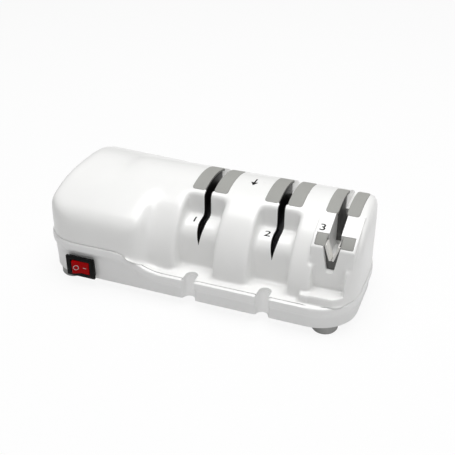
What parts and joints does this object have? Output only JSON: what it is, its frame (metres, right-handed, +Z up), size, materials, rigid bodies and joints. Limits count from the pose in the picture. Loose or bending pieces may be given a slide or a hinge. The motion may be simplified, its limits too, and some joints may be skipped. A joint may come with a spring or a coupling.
{
  "type": "electric knife sharpener",
  "caption": "Long white benchtop knife sharpener: motor dome, two powered slots with grey pads, a manual ceramic V stage, rocker switch and rubber feet.",
  "frame": {"origin": "middle of the footprint on the table, at the feet's undersides", "axes": "+X along the body from the motor end to the third stage, +Y to the back, +Z up"},
  "size_m": [0.22, 0.1167, 0.0712],
  "materials": {
    "housing_white": "satin",
    "base_white": "satin",
    "switch_black": "satin",
    "rocker_red": "gloss",
    "terminal_brass": "satin",
    "pad_grey": "matte",
    "lining_black": "matte",
    "third_stage_grey": "matte",
    "white_ceramic": "matte",
    "foot_rubber": "matte",
    "zinc_steel": "satin",
    "ground_steel": "satin",
    "lamination_steel": "satin",
    "copper": "satin",
    "inner_black": "matte",
    "cast_alloy": "satin",
    "bronze": "satin",
    "abrasive": "matte",
    "terminal_cream": "matte",
    "lead_brown": "satin",
    "lead_blue": "satin",
    "lead_black": "satin"
  },
  "bodies": {
    "root": {"upper_housing": "housing_white", "lower_base": "base_white", "switch_bezel": "switch_black", "switch_terminals": "terminal_brass", "stage_1_left_pad": "pad_grey", "stage_1_right_pad": "pad_grey", "stage_2_left_pad": "pad_grey", "stage_2_right_pad": "pad_grey", "stage_1_left_guide": "lining_black", "stage_1_right_guide": "lining_black", "stage_2_left_guide": "lining_black", "stage_2_right_guide": "lining_black", "stage_3_rear_guide": "third_stage_grey", "stage_3_ceramic_holder": "third_stage_grey", "stage_3_left_ceramic": "white_ceramic", "stage_3_right_ceramic": "white_ceramic", "front_left_foot": "foot_rubber", "front_right_foot": "foot_rubber", "rear_left_foot": "foot_rubber", "rear_right_foot": "foot_rubber", "foot_screws": "zinc_steel", "case_screws": "zinc_steel", "stator_core": "lamination_steel", "shading_rings": "copper", "coil_bobbin": "inner_black", "coil_winding": "copper", "left_motor_bracket": "cast_alloy", "right_motor_bracket": "cast_alloy", "left_bush": "bronze", "right_bush": "bronze", "outboard_bush": "bronze", "bearing_pedestal": "inner_black", "pedestal_screws": "zinc_steel", "motor_screws": "zinc_steel", "motor_saddle": "lamination_steel", "saddle_screws": "zinc_steel", "cord_gland": "inner_black", "terminal_block": "terminal_cream", "live_lead": "lead_brown", "neutral_lead": "lead_blue", "switched_lead": "lead_black"},
    "rocker": {"switch_rocker": "rocker_red"},
    "shaft": {"drive_shaft": "ground_steel", "motor_rotor": "lamination_steel", "cooling_fan": "inner_black", "stage_1_fixed_wheel": "abrasive", "stage_2_fixed_wheel": "abrasive", "retaining_clips": "zinc_steel", "stage_1_spring": "ground_steel", "stage_2_spring": "ground_steel"},
    "stage_1_float": {"stage_1_floating_wheel": "abrasive"},
    "stage_2_float": {"stage_2_floating_wheel": "abrasive"}
  },
  "joints": [
    {"name": "shaft_spin", "type": "hinge", "parent": "root", "child": "shaft", "pos_m": [0, 0.002, 0.032], "axis": [1, 0, 0], "continuous": true},
    {"name": "stage_1_float_slide", "type": "slide", "parent": "shaft", "child": "stage_1_float", "axis": [1, 0, 0], "range_m": [0, 0.0015], "stiffness_N_per_m": 600, "springref_m": -0.002, "deforming": ["stage_1_spring"]},
    {"name": "stage_2_float_slide", "type": "slide", "parent": "shaft", "child": "stage_2_float", "axis": [1, 0, 0], "range_m": [0, 0.0015], "stiffness_N_per_m": 600, "springref_m": -0.002, "deforming": ["stage_2_spring"]},
    {"name": "rocker_tilt", "type": "hinge", "parent": "root", "child": "rocker", "pos_m": [-0.077, -0.053, 0.0145], "axis": [0, 0, 1], "range_deg": [-22, 0]}
  ]
}
